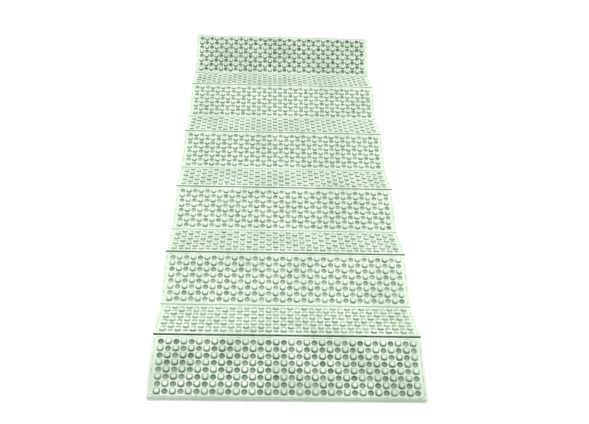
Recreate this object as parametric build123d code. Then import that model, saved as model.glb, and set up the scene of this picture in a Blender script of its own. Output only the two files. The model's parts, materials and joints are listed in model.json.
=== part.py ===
"""Folding foam camping mat, half unfolded, standing on the floor as a zigzag.

Closed-cell foam panels in a row along Y are joined by thin pressed creases that fold up and
down in turn. Each face of a panel is a chequerboard of round studs and round dimples inside a
shallow tray. A stud on one face is a dimple on the other, so the panels nest when they close.

+X runs along the creases, +Y away from the front edge, +Z up. The origin is on the floor, under
the middle of the half unfolded mat.
"""

from build123d import *
from math import hypot
import os

# ---------------------------------------------------------------- driving dimensions (mm)
mat_width = 560.0  # along the creases
panel_length = 141.0  # from crease to crease
foam_thickness = 8.5  # between the two rim faces of a panel
corner_radius = 3.0  # corners of a panel, seen from above
edge_bevel = 1.5  # on the edge of a panel where a crease opens

stud_pitch = 15.8  # between neighbours, both ways
side_margin = 19.0  # least distance from the last stud's centre to the side edge
end_margin = 15.0  # least distance from the last stud's centre to the crease

tray_depth = 1.0  # floor of the tray below the rim face
tray_side_rim = 5.0  # rim left along the side edges
tray_end_rim = 3.5  # rim left along the creases
tray_corner = 9.0  # corner radius of the tray

stud_rise = 4.6  # stud top above the rim face
stud_base_radius = 6.2  # where the stud leaves the tray
stud_top_radius = 4.9  # at the flat top
nest_clearance = 0.7  # between a stud and the dimple it enters, at the side
tip_clearance = 0.5  # between a stud's top and the dimple's floor

crease_play = 0.25  # crease axis outside the two faces that close on each other
crease_gap = 1.0  # between the ends of two panels laid flat
web_thickness = 1.2  # pressed foam left in a crease

# ---------------------------------------------------------------- rest pose (degrees)
tent_tilts = [17.5, 17.0, 14.5, 13.9, 14.5]  # the two panels of each tent lean by this
tail_tilt = 34.5  # the last panel, with its free end lifted off the floor

# ---------------------------------------------------------------- worked out from those
panel_count = 2 * len(tent_tilts) + 1
half_thickness = foam_thickness / 2
axis_height = half_thickness + crease_play  # of a crease axis from the middle of the foam
slab_length = panel_length - crease_gap
cut_past = 1.0  # how far roots and cutters pass the face they start from


def fit_count(span, margin):
    """How many studs at the pitch fit between two margins."""
    return int((span - 2 * margin) / stud_pitch + 1e-6) + 1


columns = fit_count(mat_width, side_margin)
rows = 2 * (fit_count(panel_length, end_margin) // 2)  # even, so that closed panels nest
first_column = -(columns - 1) * stud_pitch / 2
first_row = panel_length / 2 - (rows - 1) * stud_pitch / 2

# The far side of the first stud swings outwards by this as two panels close, and its dimple
# is wider by as much.
stud_reach = first_row + stud_top_radius
swing_room = hypot(stud_reach, stud_rise + crease_play) - stud_reach
dimple_mouth_radius = stud_base_radius + nest_clearance
dimple_floor_radius = stud_top_radius + nest_clearance + swing_room
dimple_depth = tray_depth + stud_rise - 2 * crease_play + tip_clearance  # below the rim face


# ---------------------------------------------------------------- one foam panel
# A panel is built with the line under its front crease along X through the origin, its length
# along +Y and the middle of its foam at Z = 0.
def turned(*profile):
    """A solid of revolution about Z from (radius, height) points that start on the axis."""
    return revolve(make_face(Plane.XZ * Polyline(*profile, close=True)), Axis.Z)


def make_stud():
    """One stud with its root in the foam; Z = 0 is the floor of the tray."""
    top = tray_depth + stud_rise
    return turned(
        (0, -cut_past),
        (stud_base_radius, -cut_past),
        (stud_base_radius, 0),
        (stud_top_radius, top),
        (0, top),
    )


def make_dimple():
    """The space of one dimple; Z = 0 is the floor of the tray."""
    floor = tray_depth - dimple_depth
    return turned(
        (0, floor),
        (dimple_floor_radius, floor),
        (dimple_mouth_radius, 0),
        (dimple_mouth_radius, cut_past),
        (0, cut_past),
    )


def make_tray():
    """The space of the shallow tray in the upper rim face."""
    outline = RectangleRounded(
        mat_width - 2 * tray_side_rim, slab_length - 2 * tray_end_rim, tray_corner
    )
    floor = Pos(0, panel_length / 2, half_thickness - tray_depth)
    return extrude(floor * outline, tray_depth + cut_past)


def make_slab(rising):
    """The plain foam of a panel, bevelled along the two edges where its creases open."""
    lean = 1 if rising else -1
    section = Rectangle(slab_length, foam_thickness)
    opening = [corner for corner in section.vertices() if corner.X * corner.Y * lean > 0]
    bar = extrude(Plane.YZ * chamfer(opening, edge_bevel), mat_width / 2, both=True)
    outline = RectangleRounded(mat_width, slab_length, corner_radius)
    return Pos(0, panel_length / 2, 0) * (bar & extrude(outline, foam_thickness, both=True))


def stud_places():
    """The X and Y of each stud or dimple, and whether the stud is on the upper face."""
    for row in range(rows):
        for column in range(columns):
            x = first_column + column * stud_pitch
            y = first_row + row * stud_pitch
            yield x, y, (row + column) % 2 == 0


def make_panel(rising):
    """A whole panel: slab, a tray in each face, and the chequerboard on both faces."""
    stud, dimple, tray = make_stud(), make_dimple(), make_tray()
    tray_floor = half_thickness - tray_depth
    studs, dimples = [], []
    for x, y, stud_on_top in stud_places():
        upper = Pos(x, y, tray_floor)
        lower = Pos(x, y, -tray_floor) * Rot(X=180)
        studs.append((upper if stud_on_top else lower) * stud)
        dimples.append((lower if stud_on_top else upper) * dimple)
    slab = make_slab(rising) - [tray, mirror(tray, Plane.XY)]
    return (slab + studs) - dimples


# ---------------------------------------------------------------- the zigzag
# Crease n joins panels n and n + 1. Odd creases are ridges, whose axis is under the foam, so
# that they open upwards. Even creases are valleys, with the axis above the foam.
def crease_side(number):
    """Which face of the foam a crease keeps together: -1 the lower, 1 the upper."""
    return -1 if number % 2 else 1


def panel_tilt(number):
    """How far a panel rises away from the front edge, in degrees."""
    if number == panel_count:
        return tail_tilt
    lean = tent_tilts[(number - 1) // 2]
    return lean if number % 2 else -lean


def fold_at_rest(number):
    """The turn between the two panels of a crease; 0 is laid flat and 180 is closed."""
    return abs(panel_tilt(number) - panel_tilt(number + 1))


def place_chain():
    """Where each panel stands, by number, before the mat is put on the floor."""
    places = {1: Rot(X=panel_tilt(1))}
    for number in range(1, panel_count):
        height = crease_side(number) * axis_height
        axis = (places[number] * Pos(0, panel_length, height)).position
        tilt = Rot(X=panel_tilt(number + 1))
        places[number + 1] = Pos(axis) * tilt * Pos(0, 0, -height)
    return places


def crease_axis(places, number):
    """A point on the axis of a crease, in the middle of the mat's width."""
    height = crease_side(number) * axis_height
    return (places[number] * Pos(0, panel_length, height)).position


def make_web(places, number):
    """The pressed foam in a crease, between the end faces of its two panels."""
    face = crease_side(number) * half_thickness
    inside = face - crease_side(number) * web_thickness
    near, far = panel_length - crease_gap / 2, crease_gap / 2
    corners = [
        (places[number] * Pos(0, near, face)).position,
        (places[number] * Pos(0, near, inside)).position,
        (places[number + 1] * Pos(0, far, inside)).position,
        (places[number + 1] * Pos(0, far, face)).position,
    ]
    section = make_face(Polyline(*corners, close=True))
    return extrude(section, mat_width / 2 - corner_radius, dir=(1, 0, 0), both=True)


def main():
    """Builds every piece, stands the mat on the floor and writes one file for each."""
    places = place_chain()
    numbers = range(1, panel_count + 1)
    shapes = {True: make_panel(rising=True), False: make_panel(rising=False)}
    panels = {number: places[number] * shapes[number % 2 == 1] for number in numbers}

    box = Compound(list(panels.values())).bounding_box()
    to_floor = Pos(0, -box.center().Y, -box.min.Z)
    print("panels:", panel_count, "rows:", rows, "columns:", columns)
    print("size (mm):", [round(side, 2) for side in box.size])

    os.makedirs("parts", exist_ok=True)
    for number in numbers:
        export_step(to_floor * panels[number], f"parts/panel_{number:02d}.step")
    for number in range(1, panel_count):
        web = make_web(places, number)
        export_step(to_floor * web, f"parts/crease_web_{number:02d}.step")
        axis = (to_floor * Pos(crease_axis(places, number))).position
        kind = "valley" if number % 2 == 0 else "ridge"
        fold = fold_at_rest(number)
        print(f"crease {number:02d} {kind} at {axis.Y:.3f} {axis.Z:.3f}, fold {fold:.1f}")


main()
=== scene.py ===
# %% [markdown]
# # A folding foam camping mat
#
# The real mat is one sheet of closed-cell polyethylene foam. A hot press gives it round studs,
# round dimples and thin creases, and the creases let it fold like an accordion. Here it stands
# half unfolded on a floor. The CAD frame holds the size, the pose and the hinges. This script
# adds what the eye needs: soft pressed shapes on both faces, a skin that looks like foam, light
# and a camera.

# %% Load the frame
import json
import math

import bpy
import numpy as np
from mathutils import Matrix, Vector


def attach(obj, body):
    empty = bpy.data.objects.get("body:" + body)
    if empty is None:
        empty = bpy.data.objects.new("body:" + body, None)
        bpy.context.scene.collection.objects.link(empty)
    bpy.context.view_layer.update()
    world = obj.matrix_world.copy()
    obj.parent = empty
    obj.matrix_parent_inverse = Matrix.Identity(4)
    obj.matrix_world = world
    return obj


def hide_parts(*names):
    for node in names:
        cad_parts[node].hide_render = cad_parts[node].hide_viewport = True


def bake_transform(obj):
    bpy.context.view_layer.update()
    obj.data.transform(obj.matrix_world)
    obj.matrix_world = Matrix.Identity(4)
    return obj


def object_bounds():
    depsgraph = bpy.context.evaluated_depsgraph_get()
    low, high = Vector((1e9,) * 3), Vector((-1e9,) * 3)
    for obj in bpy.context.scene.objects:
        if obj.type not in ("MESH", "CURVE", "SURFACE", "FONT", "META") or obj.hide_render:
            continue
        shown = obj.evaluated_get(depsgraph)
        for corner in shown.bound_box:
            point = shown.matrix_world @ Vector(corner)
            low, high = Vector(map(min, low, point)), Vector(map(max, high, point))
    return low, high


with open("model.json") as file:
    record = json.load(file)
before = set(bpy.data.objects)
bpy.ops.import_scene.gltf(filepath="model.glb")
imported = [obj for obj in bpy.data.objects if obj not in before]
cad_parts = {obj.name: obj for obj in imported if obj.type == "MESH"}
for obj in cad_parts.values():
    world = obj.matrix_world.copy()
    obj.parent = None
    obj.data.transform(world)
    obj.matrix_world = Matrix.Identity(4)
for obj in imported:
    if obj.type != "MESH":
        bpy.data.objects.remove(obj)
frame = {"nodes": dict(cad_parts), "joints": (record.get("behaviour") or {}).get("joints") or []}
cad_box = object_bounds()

MM = 0.001
print("CAD box (m):", [tuple(round(v, 4) for v in corner) for corner in cad_box])

# %% [markdown]
# ## Where each panel lies
#
# The mat is a chain. Each crease is a hinge of the frame, so its place and its range of travel
# are known: the low end of the range is the mat laid flat, so its size is the fold at rest.
# Ridge creases (odd numbers) have their axis just under the foam, valley creases just above it.
# Two neighbouring axes and the height of an axis from the middle of the foam give the tilt of
# one panel, and the folds give all the others.

# %% Panel tilts and places from the hinges
HALF_FOAM = 4.25 * MM  # half the foam between the two rim faces
CREASE_PLAY = 0.25 * MM  # from a rim face to the crease axis
AXIS_HEIGHT = HALF_FOAM + CREASE_PLAY

creases = sorted(frame["joints"], key=lambda joint: joint["name"])
axis_points = [Vector(joint["pos_m"]) for joint in creases]
folds = [-math.radians(joint["range_deg"][0]) for joint in creases]
panel_names = sorted(name for name in frame["nodes"] if name.startswith("panel_"))
panel_count = len(panel_names)


def crease_side(number):
    """-1 for a ridge, whose lower faces close on each other, and 1 for a valley."""
    return -1 if number % 2 else 1


def find_tilts():
    """The tilt of every panel, from its number, in radians; positive rises along +Y."""
    step = axis_points[1] - axis_points[0]  # across panel 2, from a ridge to a valley
    length = math.sqrt(step.length_squared - (2 * AXIS_HEIGHT) ** 2)
    second = math.atan2(step.z, step.y) - math.atan2(2 * AXIS_HEIGHT, length)
    tilts = {1: second + folds[0], 2: second}
    for number in range(2, panel_count):
        tilts[number + 1] = tilts[number] + crease_side(number) * folds[number - 1]
    return length, tilts


PANEL_LENGTH, panel_tilts = find_tilts()


def panel_place(number):
    """The matrix from a panel's own frame, with its front crease at Y = 0, to the row frame."""
    rear = number < panel_count
    crease = number if rear else number - 1
    turn = Matrix.Rotation(panel_tilts[number], 4, "X")
    on_panel = Vector((0, PANEL_LENGTH if rear else 0, crease_side(crease) * AXIS_HEIGHT))
    return Matrix.Translation(axis_points[crease - 1] - turn @ on_panel) @ turn


print("panel length (mm):", round(PANEL_LENGTH / MM, 2))
print("tilts (deg):", [round(math.degrees(t), 1) for t in panel_tilts.values()])

# %% [markdown]
# ## One stud and one dimple
#
# A press pin makes each stud and the dimple behind it. Both are round, so each is a profile
# turned into rings of points. A subdivision surface on a simple cone would soften the rings
# evenly. Profiles are used because a pressed stud isn't even: a broad dome, a shoulder that
# falls away ever more steeply, and a small fillet. Both profiles have the same number of rings,
# so one pattern of faces joins either of them.
#
# Each row gives the radius and the height above the rim in millimetres, then two shares for the
# material: how dark it is painted, for pressed foam and for painted shade in the hollows and round
# the feet, and how pale, for scuffs and for painted highlights on the domes and the lips.

# %% Profiles
PITCH = 15.8  # millimetres between neighbouring studs, both ways
ROUND = 16  # points in one ring
LAND = -0.9  # height of the pressed land between studs and dimples

stud_profile = [
    (0.0, 4.45, 0.18, 0.6),  # a faint vent mark in the middle of the dome
    (0.8, 4.60, 0.09, 1.0),
    (2.4, 4.52, 0.09, 1.0),
    (3.8, 4.10, 0.11, 0.9),
    (4.8, 3.35, 0.24, 0.4),
    (5.5, 2.20, 0.50, 0.1),
    (5.95, 0.90, 0.95, 0.0),
    (6.3, -0.30, 1.0, 0.0),  # painted shade round the foot of the stud
    (6.8, -0.90, 0.6, 0.0),
]
dimple_profile = [
    (0.0, -6.3, 1.0, 0.0),  # the deep point left by the tip of the press pin, painted dark as shade
    (0.9, -6.0, 0.85, 0.0),
    (1.7, -5.5, 0.60, 0.0),
    (3.2, -5.1, 0.58, 0.0),
    (4.7, -4.3, 0.80, 0.0),
    (5.7, -3.0, 0.62, 0.0),
    (6.35, -1.6, 0.36, 0.0),
    (6.85, -0.9, 0.12, 0.3),
    (7.3, -0.6, 0.0, 1.0),  # a thin raised lip, painted pale as a highlight
]
tallest = max(height for _, height, *_ in stud_profile)
deepest = min(height for _, height, *_ in dimple_profile)
print("stud height (mm):", tallest, "dimple depth (mm):", -deepest)

# %% [markdown]
# ## From a round ring to a square cell
#
# The studs and dimples sit on a square grid. To tile without gaps, each round shape has to end
# in a square of the size of the pitch. The last circle is joined to that square through one
# ring halfway between them. The corners of the squares, where four cells meet, stand a little
# proud: foam that isn't pinched by a pin springs back.
#
# A cell's points are rows of five numbers: x, y, height, press with painted shade, and wear with
# painted highlight.

# %% Points and faces of one cell
CORNER_SWELL = 0.45  # how far the land rises at the corners of a cell
LAND_WEAR_HIGHLIGHT = 0.28  # the land is rubbed and carries a painted highlight, less than the tops of the studs


def square_ring():
    """Points round a square cell, anticlockwise from its lower left corner."""
    side = ROUND // 4
    along, one = np.linspace(-1, 1, side, endpoint=False), np.ones(side)
    x = np.concatenate([along, one, -along, -one])
    y = np.concatenate([-one, along, one, -along])
    mid = np.minimum(np.abs(x), np.abs(y))  # 0 in the middle of a side, 1 at a corner
    height = LAND + CORNER_SWELL * mid**2
    return np.column_stack([x * PITCH / 2, y * PITCH / 2, height, 0 * x, 0 * x + LAND_WEAR_HIGHLIGHT])


def cell_points(profile):
    """The centre and the rings of one cell: x, y, height, press and wear of each point."""
    angle = np.radians(225) + np.arange(ROUND) * 2 * np.pi / ROUND  # from the lower left
    rings = []
    for radius, *rest in profile[1:]:
        same = [0 * angle + value for value in rest]
        rings.append(np.column_stack([radius * np.cos(angle), radius * np.sin(angle), *same]))
    square = square_ring()
    rings += [(rings[-1] + square) / 2, square]
    return np.concatenate([[(0, 0, *profile[0][1:])], *rings])


def cell_faces():
    """The faces of one cell: a fan in the middle, then bands of four-sided faces."""
    here = np.arange(ROUND)
    after = (here + 1) % ROUND
    fan = np.column_stack([0 * here, 1 + here, 1 + after])
    bands = []
    for ring in range(len(stud_profile)):
        inner, outer = 1 + ring * ROUND, 1 + (ring + 1) * ROUND
        bands.append(np.column_stack([inner + here, outer + here, outer + after, inner + after]))
    return fan, np.concatenate(bands)


stud_cell, dimple_cell = cell_points(stud_profile), cell_points(dimple_profile)
print("one cell has", len(stud_cell), "points")

# %% [markdown]
# ## The chequerboard
#
# Rows and columns alternate stud, dimple, stud. The lower face has a dimple wherever the upper
# one has a stud, because the pins press from both sides. An array modifier could repeat one
# pair of cells, but all its studs would be twins. Foam never springs back evenly, so here every
# stud differs a little from the next in height. Some are scuffed by feet and floors more than
# others, and the painted highlight on their tops differs with the scuffs. The pressed foam and
# its painted shade differ from cell to cell too.

# %% Chequerboard of one face
COLUMNS, ROWS = 34, 8
PANEL_WIDTH = cad_box[1].x - cad_box[0].x
FIELD_X, FIELD_Y = COLUMNS * PITCH / 2, ROWS * PITCH / 2  # half the size of the stud field
UNEVEN = 0.03  # how much lower than the best a typical stud is, as a share
PRESS_SHADE_SPREAD, SCUFF_HIGHLIGHT_SPREAD = (0.65, 0.98), (0.3, 0.9)  # least and most on any one cell, of the painted shade and of the painted highlight


def chequerboard(stud_at_corner, dice):
    """Points of the stud field of one face, seen from outside it, as cell_points gives them."""
    row, column = np.divmod(np.arange(ROWS * COLUMNS), COLUMNS)
    is_stud = ((row + column) % 2 == 0) == stud_at_corner
    cell = np.where(is_stud[:, None, None], stud_cell, dimple_cell)
    own = cell[:, :-ROUND]  # the last ring is shared with the neighbours, so it isn't varied
    height = 1 - UNEVEN * np.abs(dice.normal(size=len(row))).clip(0, 2)
    own[..., 2] = LAND + (own[..., 2] - LAND) * height[:, None]
    # painted shade and painted highlight differ a little from cell to cell
    own[..., 3] *= dice.uniform(*PRESS_SHADE_SPREAD, len(row))[:, None]
    own[..., 4] *= np.where(is_stud, dice.uniform(*SCUFF_HIGHLIGHT_SPREAD, len(row)), 1)[:, None]
    cell[..., 0] += ((column + 0.5) * PITCH - FIELD_X)[:, None]
    cell[..., 1] += ((row + 0.5) * PITCH - FIELD_Y)[:, None]
    return cell.reshape(-1, 5)


def chequerboard_faces():
    """The faces of the stud field: those with three sides and those with four."""
    start = np.arange(ROWS * COLUMNS)[:, None, None] * len(stud_cell)
    return [(rows + start).reshape(-1, rows.shape[1]) for rows in cell_faces()]


print("cells on each face:", ROWS * COLUMNS)

# %% [markdown]
# ## The border of a panel
#
# Round the stud field runs a border: a soft slope with a scallop beside each outer dimple, the
# flat rim, a rounded edge and the side wall. A bevelled box could give the edge, but not the
# scallops, and its faces wouldn't meet those of the field. All of these are therefore loops of
# points that follow the outline of the field and move outwards. A loop is given its half sizes
# and its corner radius, and it bends the field's rectangle into a rounded one, so that corners
# need no points of their own.

# %% Outline of the stud field
STRETCH = np.array([42.0, 30.0])  # points spread outwards over this much next to a corner


def field_outline():
    """Points round the field, anticlockwise; whether the cell beside each one is even; and how
    far along that cell's side the point is, from 0 to 1."""
    step = ROUND // 4
    u, v = np.arange(COLUMNS * step) / step, np.arange(ROWS * step) / step
    front = np.column_stack([u, 0 * u])
    right = np.column_stack([COLUMNS + 0 * v, v])
    rear = np.column_stack([COLUMNS - u, ROWS + 0 * u])
    left = np.column_stack([0 * v, ROWS - v])
    at = np.concatenate([front, right, rear, left])
    cell = np.floor(at + 1e-6).clip(0, (COLUMNS - 1, ROWS - 1))  # column and row
    return at * PITCH - (FIELD_X, FIELD_Y), cell.sum(1) % 2 == 0, (at % 1).sum(1)


outline, even_cell, side_share = field_outline()
print("points in a border loop:", len(outline))


# %% One loop of the border
def ease(share):
    """0 to 1 with a soft start and a soft end."""
    return share**2 * (3 - 2 * share)


def loop(half_x, half_y, corner):
    """The field's outline moved out to a rounded rectangle, and its outward directions."""
    field, half = np.array([FIELD_X, FIELD_Y]), np.array([half_x, half_y])
    reach = ((np.abs(outline) - field + STRETCH) / STRETCH).clip(0, 1)
    moved = outline + np.sign(outline) * (half - field) * ease(reach)
    core = np.sign(moved) * np.minimum(np.abs(moved), half - corner)
    away = moved - core
    away /= np.linalg.norm(away, axis=1, keepdims=True)
    return core + away * corner, away


print("the first loop is the field's own outline, half sizes (mm):", FIELD_X, FIELD_Y)

# %% [markdown]
# ## Tray, rim and edges
#
# The rim is the full thickness of the foam. It is wider along the short sides than beside the
# creases. A long edge is rounded off generously where its crease opens, so that the sheet
# doesn't pinch there when it is laid flat, and only a little where the crease closes. The two
# free ends of the mat are the softest, and the short sides are sharp, where the knife cut them.
# The radius of the edge therefore changes with the outward direction.

# %% The slope from the field up to the rim, in millimetres
CREASE_GAP = 1.0  # between two panels laid flat
HALF_WIDTH = PANEL_WIDTH / 2 / MM
HALF_LENGTH = (PANEL_LENGTH / MM - CREASE_GAP) / 2
SIDE_RIM, END_RIM, TRAY_CORNER = 5.0, 3.5, 9.0
SCALLOP = 1.0  # how far the tray reaches out beside a dimple
RIM_WEAR_HIGHLIGHT = 0.65  # added to the rim along an open crease, which rubs on everything, and a painted highlight on that edge

# Inset from the rim's inner edge, height, share of the scallop; press and painted shade, and how
# much more of it there is beside a dimple, a painted shade arc; and wear with painted highlight.
slope_profile = [
    (2.3, LAND, 1.0, 0.05, 0.0, 0.2),
    (1.2, LAND * 0.8, 0.8, 0.12, 0.85, 0.1),
    (0.2, LAND * 0.2, 0.4, 0.05, 0.1, 0.2),
    (-0.9, 0.0, 0.0, 0.0, 0.0, 0.3),
]


def slope_loops(stud_at_corner, opening):
    """Loops from the field's outline to the rim. opening is the end, 1 or -1, that opens."""
    one = np.ones(len(outline))
    beside_dimple = even_cell != stud_at_corner
    bow = (beside_dimple * np.sin(np.pi * side_share))[:, None]
    swell = CORNER_SWELL * (2 * side_share - 1) ** 2
    loops = [np.column_stack([outline, LAND + swell, 0 * one, LAND_WEAR_HIGHLIGHT * one])]
    for inset, height, push, press_and_shade, scallop_shade, wear_and_highlight in slope_profile:
        tray = HALF_WIDTH - SIDE_RIM - inset, HALF_LENGTH - END_RIM - inset
        flat, away = loop(*tray, TRAY_CORNER)
        flat = flat + away * bow * SCALLOP * push
        # painted shade arcs beside the outer dimples; rubbing and a painted highlight on the rim
        # where the crease opens
        press_and_shade = press_and_shade + scallop_shade * bow[:, 0]
        opens = (away[:, 1] * opening).clip(0, 1)
        wear_and_highlight = wear_and_highlight + RIM_WEAR_HIGHLIGHT * opens * (height == 0)
        loops.append(np.column_stack([flat, height * one, press_and_shade, wear_and_highlight]))
    return loops


print("loops on the slope:", len(slope_loops(True, 1)))

# %% The rounded edge and the side wall, in millimetres
CORNER = 3.0
KNIFE_EDGE, OPENING_EDGE, FREE_EDGE = 0.9, 2.1, 3.2  # edge radii
FREE_END_SHADE = 0.15  # the free ends get little painted shade and are hardly pressed
RIM_HIGHLIGHT_TURN = 60  # the rubbing and its painted highlight end where the edge has turned this far, in degrees
# painted shade on the side walls and on the walls in a crease
WALL_SHADE, CREASE_WALL_SHADE = 0.3, 1.0

# Turn of the rounded edge in degrees; painted shade at the sides, where a crease opens and where
# it closes, with more than a full share where it closes to make up for the painted shade that
# fades at each crease further back; and wear with painted highlight.
edge_profile = [
    (0, 0.0, 0.0, 0.35, 0.3),
    (30, 0.0, 0.0, 0.85, 0.3),
    (60, 0.1, 0.4, 1.2, 0.1),
    (90, 0.3, 0.9, 1.4, 0.0),
]


def edge_loops(opening, end_shades):
    """Loops round the edge and down to the middle of the wall. The second argument says how much
    painted shade the front end and the rear end get, 1 being a full crease."""
    one = np.ones(len(outline))
    flat, away = loop(HALF_WIDTH, HALF_LENGTH, CORNER)
    opens = (away[:, 1] * opening).clip(0, 1)
    radius = KNIFE_EDGE + (OPENING_EDGE - KNIFE_EDGE) * opens**2
    end_shade = np.where(away[:, 1] > 0, end_shades[1], end_shades[0])
    radius += (FREE_EDGE - radius) * (end_shade == FREE_END_SHADE) * away[:, 1] ** 2
    in_crease = np.abs(away[:, 1]) * end_shade
    loops = []
    for turn, press_and_shade, shade_open, shade_closed, wear_and_highlight in edge_profile:
        # painted shade where the edge runs into a crease; rubbing and a painted highlight where it
        # opens
        shade_in_crease = np.where(away[:, 1] * opening > 0, shade_open, shade_closed)
        press_and_shade = press_and_shade + (shade_in_crease - press_and_shade) * in_crease
        wear_and_highlight = wear_and_highlight + RIM_WEAR_HIGHLIGHT * opens * (turn < RIM_HIGHLIGHT_TURN)
        inset = radius * (1 - math.sin(math.radians(turn)))
        height = -radius * (1 - math.cos(math.radians(turn)))
        moved = flat - away * inset[:, None]
        loops.append(np.column_stack([moved, height, press_and_shade, wear_and_highlight]))
    # painted shade on the wall
    press_and_shade = WALL_SHADE + (CREASE_WALL_SHADE - WALL_SHADE) * in_crease
    loops.append(np.column_stack([flat, -HALF_FOAM / MM * one, press_and_shade, 0 * one]))
    return loops


LOOPS = len(slope_loops(True, 1)) + len(edge_loops(1, (1, 1)))
print("loops in a border:", LOOPS)

# %% [markdown]
# ## One panel as a mesh
#
# The upper face is the field and its border. The lower face is the same thing mirrored in
# height, with its dimples behind the upper studs. The two meet in the middle of the side wall,
# which makes one closed skin. Pushing a flat sheet up and down by a displacement would be
# quicker, but it gives neither steep walls nor a second face. All panels have the same pattern
# of faces, so the list of faces and the list of points that coincide are made once. Only
# heights and finish differ from panel to panel.
#
# Attributes go with the points for the material to read: press with painted shade, wear with
# painted highlight, and sheet, which is the place of a point on the whole mat laid flat. Patterns
# that use it run on from panel to panel, as they do on one sheet of foam. The creases get painted
# shade, darkest at the front and less at each crease further back, and the end panels get more
# painted shade in their hollows than those between them.


# %% Points of a whole panel
END_PANEL_SHADE = 1.35  # how much more painted shade an end panel gets in its hollows
CREASE_SHADE_FRONT, CREASE_SHADE_FADE = 1.05, 0.055  # most painted shade in a crease, at the front, and its loss at each crease further back
PANEL_SEED = 100  # a panel's number is added, so that no two panels are alike


def face_points(number, upper, dice):
    """Points of one face and its border, in the panel's own frame, in millimetres."""
    opening = 1 if (number % 2 == 1) == upper else -1
    # painted shade in the creases at the two ends of the panel, less further back; the free ends
    # get little
    crease_shades = [CREASE_SHADE_FRONT - CREASE_SHADE_FADE * crease for crease in (number - 1, number)]
    end_shades = [
        crease_shades[0] if number > 1 else FREE_END_SHADE,
        crease_shades[1] if number < panel_count else FREE_END_SHADE,
    ]
    field = chequerboard(upper, dice)
    # more painted shade in the hollows of the end panels
    field[:, 3] *= END_PANEL_SHADE if number in (1, panel_count) else 1
    border = slope_loops(upper, opening) + edge_loops(opening, end_shades)
    points = np.concatenate([field, *border])
    points[:, 1] += PANEL_LENGTH / 2 / MM
    points[:, 2] = (1 if upper else -1) * (points[:, 2] + HALF_FOAM / MM)
    return points


def panel_points(number):
    """Points of both faces."""
    dice = np.random.default_rng(PANEL_SEED + number)
    return np.concatenate([face_points(number, upper, dice) for upper in (True, False)])


print("a panel has", len(panel_points(1)), "points before those that coincide are welded")


# %% Faces of a whole panel
def panel_faces():
    """Three-sided and four-sided faces of both faces of a panel, before welding."""
    fan, bands = chequerboard_faces()
    around = len(outline)
    field = ROWS * COLUMNS * len(stud_cell)
    here = np.arange(around)
    after = (here + 1) % around
    for number in range(LOOPS - 1):
        inner, outer = field + number * around, field + (number + 1) * around
        band = np.column_stack([inner + here, outer + here, outer + after, inner + after])
        bands = np.concatenate([bands, band])
    below = field + LOOPS * around
    fan = np.concatenate([fan, (fan + below)[:, ::-1]])
    bands = np.concatenate([bands, (bands + below)[:, ::-1]])
    return fan, bands


def weld(points):
    """Which points to keep where several coincide, and the new number of each point."""
    places = np.round(points[:, :3], 2)  # to a hundredth of a millimetre
    _, keep, number = np.unique(places, axis=0, return_index=True, return_inverse=True)
    return keep, number.ravel()


kept_points, new_number = weld(panel_points(1))
welded_faces = [new_number[rows] for rows in panel_faces()]
triangles = len(welded_faces[0]) + 2 * len(welded_faces[1])
print("a panel has", len(kept_points), "points and", triangles, "triangles")

# %% [markdown]
# ## Foam
#
# The mat is cross-linked polyethylene foam, closed-cell, pressed hot. The press melts a thin
# matt skin with a fine pebble in it. The skin scatters light a little below the surface, which
# keeps shadows in the hollows green rather than grey. Pressed hollows are denser and greener,
# and painted shade darkens them further, with the feet of the studs, the creases and the front
# of the mat. The tops of the studs are scuffed paler and carry a painted highlight, some in
# large patches of painted glare. Polyethylene has an IOR of 1.51. The pebble is about 0.8 mm on
# the real skin. It is drawn at 2.5 mm, because finer grain wouldn't show.
#
# The patterns are noise in the sheet's own coordinates, so they need no unwrapping and follow
# the foam when it folds. Where they go is left to the press with painted shade, and the wear
# with painted highlight, of each point.


# %% Colour and node helpers
def linear(code):
    """An sRGB hex colour such as #aabbcc as linear red, green, blue and alpha."""
    parts = [int(code[i : i + 2], 16) / 255 for i in (1, 3, 5)]
    return [p / 12.92 if p <= 0.04045 else ((p + 0.055) / 1.055) ** 2.4 for p in parts] + [1]


def add(tree, kind, settings, inputs):
    """Adds a node, sets its properties, and gives its inputs a value or a link."""
    made = tree.nodes.new(kind)
    for name, value in settings.items():
        setattr(made, name, value)
    for name, value in inputs.items():
        if isinstance(value, bpy.types.NodeSocket):
            tree.links.new(value, made.inputs[name])
        else:
            made.inputs[name].default_value = value
    return made


MIX_A, MIX_B, MIXED = 6, 7, 2  # the colour sockets of a Mix node, which share their names
MINT, DULL_MINT = "#d8e8d3", "#c6d6bf"
print("mint skin, linear:", [round(c, 3) for c in linear(MINT)])

# %% Sizes of the patterns in millimetres, and values of the foam
PEBBLE, PEBBLE_STRENGTH = 2.5, 0.35
PEBBLE_DEPTH = 0.0003  # metres
NOISE_RANGE = 0.3, 0.7  # where nearly all values of a noise lie
TINT_CLOUD, TINT_SHARE = 140, 0.35  # the sheet's colour is a little uneven
PRESSED_PATCH, PRESSED_LEAST = 14, 0.75  # the pressed foam and its painted shade vary in patches
SCUFF, SCUFF_LEAST = 7, 0.6  # small scuffs
GLARE_PATCH, GLARE_LEAST = 90, 0.12  # large patches of painted glare, where the painted highlight on the tops is stronger
SPECKLE, SPECKLE_SHARE = 2.5, 0.14
GLOSS_PATCH, GLOSS_SPREAD = 6, 0.07
FRONT_SHADE = 0.22  # share of painted shade at the front edge, which darkens the front panel
FRONT_REACH = 0.22  # how far it goes, in metres
foam_values = {
    "IOR": 1.51,
    "Specular IOR Level": 0.35,  # a matt skin shines less than a smooth one
    "Subsurface Weight": 0.06,
    "Subsurface Radius": (0.7, 1.0, 0.7),  # green light goes furthest in green foam
    "Subsurface Scale": 0.001,  # metres
    "Sheen Weight": 0.06,  # fine dust, seen edge on
    "Sheen Roughness": 0.5,
}
print("pebble:", PEBBLE, "mm; values set on the shader:", len(foam_values))


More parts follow.
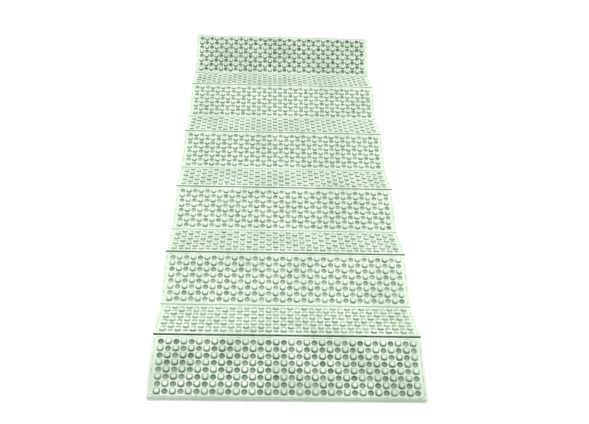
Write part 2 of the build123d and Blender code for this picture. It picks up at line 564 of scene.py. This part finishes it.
# %% The foam material
def foam_skin(name, skin, pressed, scuff_and_highlight, roughness):
    """Closed-cell polyethylene foam with a hot-pressed skin."""
    material = bpy.data.materials.new(name)
    material.use_nodes = True
    tree = material.node_tree
    surface = tree.nodes["Principled BSDF"]
    sheet = add(tree, "ShaderNodeAttribute", {"attribute_name": "sheet"}, {}).outputs["Vector"]
    press_and_shade = add(tree, "ShaderNodeAttribute", {"attribute_name": "press_and_shade"}, {}).outputs["Fac"]
    wear_and_highlight = add(tree, "ShaderNodeAttribute", {"attribute_name": "wear_and_highlight"}, {}).outputs["Fac"]

    def ramp(value, start, end, low, high):
        """value, eased from low at start to high at end."""
        ends = {"From Min": start, "From Max": end, "To Min": low, "To Max": high}
        settings = {"interpolation_type": "SMOOTHSTEP"}
        return add(tree, "ShaderNodeMapRange", settings, {"Value": value, **ends}).outputs[0]

    def noise(size_mm, detail, low, high):
        """Cloudy pattern whose patches are about size_mm, stretched to go from low to high;
        detail is how many finer layers it has."""
        settings = {"Vector": sheet, "Scale": 1 / (size_mm * MM), "Detail": detail}
        cloud = add(tree, "ShaderNodeTexNoise", {}, settings).outputs["Fac"]
        return ramp(cloud, *NOISE_RANGE, low, high)

    def mix(share, one, other):
        """one colour, turned into the other by share."""
        inputs = {"Factor": share, MIX_A: one, MIX_B: other}
        return add(tree, "ShaderNodeMix", {"data_type": "RGBA"}, inputs).outputs[MIXED]

    def times(one, other):
        """The product of two numbers."""
        return add(tree, "ShaderNodeMath", {"operation": "MULTIPLY"}, {0: one, 1: other}).outputs[0]

    tint = noise(TINT_CLOUD, detail=2, low=0.0, high=TINT_SHARE)
    colour = mix(tint, linear(skin), linear(DULL_MINT))
    # painted shade, darkest at the front end of the mat
    along = add(tree, "ShaderNodeSeparateXYZ", {}, {"Vector": sheet}).outputs["Y"]
    colour = mix(ramp(along, 0.0, FRONT_REACH, FRONT_SHADE, 0.0), colour, linear(pressed))
    # pressed foam darkens, and painted shade darkens the hollows, the feet of the studs, the walls
    # and the creases
    patches = noise(PRESSED_PATCH, detail=2, low=PRESSED_LEAST, high=1.0)
    colour = mix(times(press_and_shade, patches), colour, linear(pressed))
    # scuffs lighten, and a painted highlight lightens the stud tops, the dimple lips and the open
    # rim edges, more in large patches of painted glare
    scuffs = noise(SCUFF, detail=2, low=SCUFF_LEAST, high=1.0)
    glare = noise(GLARE_PATCH, detail=0, low=GLARE_LEAST, high=1.0)
    colour = mix(times(wear_and_highlight, times(scuffs, glare)), colour, linear(scuff_and_highlight))
    speckle = noise(SPECKLE, detail=3, low=0.0, high=SPECKLE_SHARE)
    colour = mix(speckle, colour, linear(pressed))
    tree.links.new(colour, surface.inputs["Base Color"])

    least, most = roughness - GLOSS_SPREAD, roughness + GLOSS_SPREAD
    rough = noise(GLOSS_PATCH, detail=3, low=least, high=most)
    tree.links.new(rough, surface.inputs["Roughness"])
    grain = {"Vector": sheet, "Scale": 1 / (PEBBLE * MM)}
    pebble = add(tree, "ShaderNodeTexVoronoi", {"feature": "SMOOTH_F1"}, grain).outputs["Distance"]
    relief = {"Height": pebble, "Strength": PEBBLE_STRENGTH, "Distance": PEBBLE_DEPTH}
    bump = add(tree, "ShaderNodeBump", {}, relief)
    tree.links.new(bump.outputs["Normal"], surface.inputs["Normal"])
    for socket, value in foam_values.items():
        surface.inputs[socket].default_value = value
    return material


# Each has its skin colour, its dark colour for pressed foam, painted shade and speckle, its pale
# colour for scuffs and painted highlights, and its roughness. The crease is denser foam, so it is a
# little darker and glossier, and its skin is painted darker still as shade for the groove.
panel_foam = foam_skin("pressed_polyethylene_foam", MINT, "#45674a", "#fdfffc", 0.72)
crease_foam = foam_skin("crease_polyethylene_foam", "#5f7b62", "#3f5843", "#7f9b80", 0.62)
print("materials:", panel_foam.name, crease_foam.name)

# %% [markdown]
# ## The eleven panels
#
# Odd panels rise away from the front and even ones fall, so their opening edges are at
# opposite ends. One mesh could serve all eleven, but then the same scuffs would come back on
# every panel, so each panel has a mesh of its own. The mesh is in the panel's frame and the
# object's matrix puts it in its place, so it can ride on its hinge body as it is.


# %% Build the panels
def foam_mesh(name, points, faces, along_sheet):
    """A smooth mesh. points has x, y, z, press and wear; each array of faces has equal rows."""
    mesh = bpy.data.meshes.new(name)
    corners = np.concatenate([rows.ravel() for rows in faces])
    sizes = np.concatenate([np.full(len(rows), rows.shape[1]) for rows in faces])
    mesh.vertices.add(len(points))
    mesh.vertices.foreach_set("co", (points[:, :3] * MM).ravel())
    mesh.loops.add(len(corners))
    mesh.loops.foreach_set("vertex_index", corners)
    mesh.polygons.add(len(sizes))
    mesh.polygons.foreach_set("loop_start", np.cumsum(sizes) - sizes)
    mesh.polygons.foreach_set("use_smooth", np.ones(len(sizes), bool))
    sheet = points[:, :3] * MM + (0, along_sheet, 0)
    mesh.attributes.new("sheet", "FLOAT_VECTOR", "POINT").data.foreach_set("vector", sheet.ravel())
    mesh.attributes.new("press_and_shade", "FLOAT", "POINT").data.foreach_set("value", points[:, 3])
    mesh.attributes.new("wear_and_highlight", "FLOAT", "POINT").data.foreach_set("value", points[:, 4])
    mesh.update(calc_edges=True)
    mesh.validate()
    return mesh


def make_panel(number):
    """One panel in its place, riding on its hinge body."""
    points = panel_points(number)[kept_points]
    name = f"foam_panel_{number:02d}"
    mesh = foam_mesh(name, points, welded_faces, (number - 1) * PANEL_LENGTH)
    panel = bpy.data.objects.new(name, mesh)
    bpy.context.scene.collection.objects.link(panel)
    panel.matrix_world = panel_place(number)
    panel.data.materials.append(panel_foam)
    node = f"panel_{number:02d}"
    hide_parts(node)
    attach(panel, node)
    return panel


panels = [make_panel(number) for number in range(1, panel_count + 1)]
print("panels:", len(panels), "with", len(panels[0].data.vertices), "points each")

# %% [markdown]
# ## The creases
#
# In a crease the same sheet is pressed about a millimetre thin, and that living hinge is all
# that joins two panels. It lies on the side that closes: below on a ridge, above on a valley.
# Left out, each crease would be a slot with daylight in it. Riding on one panel, it would come
# away from the other. So each one is a strip set a little way into both panels, thinnest in the
# middle. Its section is bent round the hinge's axis by the fold at rest, eased near the axis so
# that it turns smoothly from one panel into the other.

# %% Shape of a crease
WEB_THICKNESS = 1.15  # millimetres, where it enters a panel
WEB_THINNEST = 0.72  # share of that left at the axis
WEB_REACH = 1.7  # from the axis into each panel
WEB_RECESS = 0.2  # below the rim face
BEND_REACH = 0.8  # the bend happens within this of the axis
WEB_STEPS, WEB_LENGTHS = 14, 160  # points across and along
WANDER, WANDER_SPAN = 0.08, 5  # millimetres up and down, evened out over so many points
CREASE_SEED = 500  # a crease's number is added
across_share = np.linspace(-1, 1, WEB_STEPS)


def web_section():
    """Distance across the crease and depth below the rim face, in millimetres, round the strip."""
    across = across_share * WEB_REACH
    thin = WEB_THICKNESS * (WEB_THINNEST + (1 - WEB_THINNEST) * across_share**2)
    middle = WEB_RECESS + WEB_THICKNESS / 2
    near = np.column_stack([across, middle - thin / 2])
    far = np.column_stack([across, middle + thin / 2])[::-1]
    return np.concatenate([near, far])


print("points round the section of a crease:", len(web_section()))


# %% Mesh of a crease
def bent_section(number):
    """y and z of the section round its hinge's axis, bent by the fold at rest."""
    section = web_section()
    eased = ease(((section[:, 0] / BEND_REACH + 1) / 2).clip(0, 1))
    turn = -crease_side(number) * folds[number - 1] / 2 * (1 - 2 * eased)
    up = -crease_side(number) * (CREASE_PLAY / MM + section[:, 1])
    y = section[:, 0] * np.cos(turn) - up * np.sin(turn)
    z = section[:, 0] * np.sin(turn) + up * np.cos(turn)
    return y, z


def strip_faces(rows):
    """The faces of a strip whose section has so many rows of points, with both its ends."""
    along, here = np.arange(WEB_LENGTHS - 1)[:, None] * rows, np.arange(rows)
    after = (here + 1) % rows
    band = np.stack([along + here, along + after, along + rows + after, along + rows + here], -1)
    half = np.arange(WEB_STEPS - 1)
    cap = np.column_stack([half, rows - 1 - half, rows - 2 - half, half + 1])
    last = (WEB_LENGTHS - 1) * rows
    return np.concatenate([band.reshape(-1, 4), cap, (cap + last)[:, ::-1]])


def crease_mesh(number):
    """The strip of one crease, in the frame of its hinge."""
    dice = np.random.default_rng(CREASE_SEED + number)
    wander = np.convolve(dice.normal(size=WEB_LENGTHS), np.ones(WANDER_SPAN) / WANDER_SPAN, "same")
    x = np.linspace(-1, 1, WEB_LENGTHS) * (HALF_WIDTH - CORNER)
    y, z = bent_section(number)
    points = np.zeros((WEB_LENGTHS, len(y), 5))
    points[..., 0], points[..., 1], points[..., 2] = x[:, None], y, z + WANDER * wander[:, None]
    faces = strip_faces(len(y))
    if crease_side(number) > 0:
        faces = faces[:, ::-1]
    name = f"foam_crease_{number:02d}"
    return foam_mesh(name, points.reshape(-1, 5), [faces], number * PANEL_LENGTH)


# %% Put the creases in place
def make_crease(number):
    """The living hinge between two panels, bent by the fold at rest."""
    name = f"foam_crease_{number:02d}"
    crease = bpy.data.objects.new(name, crease_mesh(number))
    bpy.context.scene.collection.objects.link(crease)
    tilt = (panel_tilts[number] + panel_tilts[number + 1]) / 2
    place = Matrix.Translation(axis_points[number - 1]) @ Matrix.Rotation(tilt, 4, "X")
    crease.matrix_world = place
    crease.data.materials.append(crease_foam)
    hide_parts(f"crease_web_{number:02d}")
    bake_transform(crease)
    return crease


webs = [make_crease(number) for number in range(1, panel_count)]
print("creases:", len(webs))

# %% [markdown]
# ## Floor and light
#
# The mat stands on a wide matt floor that is nearly white. An area light close by would light
# the near end more than the far end. One very wide soft light, far away and almost straight
# overhead, treats all panels alike. It leans a little from the rear, so that the sides of the
# studs that face the camera fall into soft shade. The world is a white studio. Its walls are
# bright near the horizon, where the floor runs into them, and its ceiling is dimmer, so that
# the hollows keep their shade.

# %% Floor
FLOOR_LEFT, FLOOR_RIGHT, FLOOR_FRONT, FLOOR_REAR = -15, 15, -12, 25  # metres
FLOOR_GLOW = 0.2  # a little light of its own lifts the paint to a clean white
FLOOR_CLOUDS, FLOOR_ROUGHNESS = 3.0, (0.78, 0.86)  # clouds per metre; least and most


def make_floor():
    """A wide plain floor, which isn't part of the mat."""
    front = [(FLOOR_LEFT, FLOOR_FRONT, 0), (FLOOR_RIGHT, FLOOR_FRONT, 0)]
    rear = [(FLOOR_RIGHT, FLOOR_REAR, 0), (FLOOR_LEFT, FLOOR_REAR, 0)]
    mesh = bpy.data.meshes.new("studio_floor")
    mesh.from_pydata(front + rear, [], [(0, 1, 2, 3)])
    floor = bpy.data.objects.new("studio_floor", mesh)
    bpy.context.scene.collection.objects.link(floor)
    paint = bpy.data.materials.new("matt_white_paint")
    paint.use_nodes = True
    tree = paint.node_tree
    surface = tree.nodes["Principled BSDF"]
    clouds = {"Scale": FLOOR_CLOUDS, "Detail": 2.0}
    cloud = add(tree, "ShaderNodeTexNoise", {}, clouds).outputs["Fac"]
    ends = {"To Min": FLOOR_ROUGHNESS[0], "To Max": FLOOR_ROUGHNESS[1]}
    rough = add(tree, "ShaderNodeMapRange", {}, {"Value": cloud, **ends}).outputs[0]
    tree.links.new(rough, surface.inputs["Roughness"])
    surface.inputs["Base Color"].default_value = linear("#f6f7f6")
    surface.inputs["Emission Color"].default_value = linear("#ffffff")
    surface.inputs["Emission Strength"].default_value = FLOOR_GLOW
    floor.data.materials.append(paint)
    return floor


floor = make_floor()
print("floor:", floor.name)

# %% Studio walls and ceiling
WALL_TOP, CEILING_EDGE = 0.14, 0.3  # rise of the line of sight: 0 is level, 1 straight up
WALL_GLOW, CEILING_GLOW = 1.0, 0.45
world = bpy.data.worlds.new("white_studio")
world.use_nodes = True
studio = world.node_tree
sky = studio.nodes["Background"]
sky.inputs["Color"].default_value = linear("#ffffff")
seen = add(studio, "ShaderNodeTexCoord", {}, {}).outputs["Generated"]
height = add(studio, "ShaderNodeSeparateXYZ", {}, {"Vector": seen}).outputs["Z"]
walls = {"Value": height, "From Min": WALL_TOP, "From Max": CEILING_EDGE}
glows = {"To Min": WALL_GLOW, "To Max": CEILING_GLOW}
eased = {"interpolation_type": "SMOOTHSTEP"}
glow = add(studio, "ShaderNodeMapRange", eased, {**walls, **glows}).outputs[0]
studio.links.new(glow, sky.inputs["Strength"])
bpy.context.scene.world = world
bpy.context.scene.view_settings.view_transform = "Standard"
print("world:", world.name)

# %% Soft light overhead
SOFTBOX_AIM = Vector((-0.05, -0.1, -1.0))  # down, a little towards the front
SOFTBOX_WIDTH = 38  # degrees of sky
SOFTBOX_POWER = 2.8  # watts on each square metre


def make_softbox():
    """A far light that shines along its aim and is as wide as a softbox."""
    lamp = bpy.data.lights.new("overhead_softbox", "SUN")
    lamp.angle, lamp.energy = math.radians(SOFTBOX_WIDTH), SOFTBOX_POWER
    softbox = bpy.data.objects.new("overhead_softbox", lamp)
    bpy.context.scene.collection.objects.link(softbox)
    softbox.rotation_euler = SOFTBOX_AIM.to_track_quat("-Z", "Y").to_euler()
    return softbox


softbox = make_softbox()
print("light:", softbox.name)

# %% [markdown]
# ## Camera
#
# The camera stands in front of the mat at chest height and looks down along it. A slightly long
# lens keeps the far panels from shrinking too much. A target to track would be quicker, but the
# camera also leans a little to one side. So its axes are worked out from three angles, and each
# angle can be changed alone.

# %% Camera
CAMERA_PLACE = Vector((-0.0592, -1.9500, 1.3449))
YAW, PITCH_DOWN, ROLL = 0.0464, 0.6304, 0.0444  # radians
LENS, SENSOR = 54.2, 36  # millimetres


def make_camera():
    """The camera, standing in front of the mat and looking down at it."""
    lens = bpy.data.cameras.new("camera")
    lens.lens, lens.sensor_width = LENS, SENSOR
    camera = bpy.data.objects.new("camera", lens)
    bpy.context.scene.collection.objects.link(camera)
    flat = math.cos(PITCH_DOWN)
    ahead = Vector((math.sin(YAW) * flat, math.cos(YAW) * flat, -math.sin(PITCH_DOWN)))
    right = ahead.cross(Vector((0, 0, 1))).normalized()
    up = right.cross(ahead)
    turned = right * math.cos(ROLL) + up * math.sin(ROLL)
    top = up * math.cos(ROLL) - right * math.sin(ROLL)
    axes = Matrix((turned, top, -ahead)).transposed().to_4x4()
    camera.matrix_world = Matrix.Translation(CAMERA_PLACE) @ axes
    return camera


bpy.context.scene.camera = make_camera()
print("camera at (m):", [round(value, 3) for value in CAMERA_PLACE])
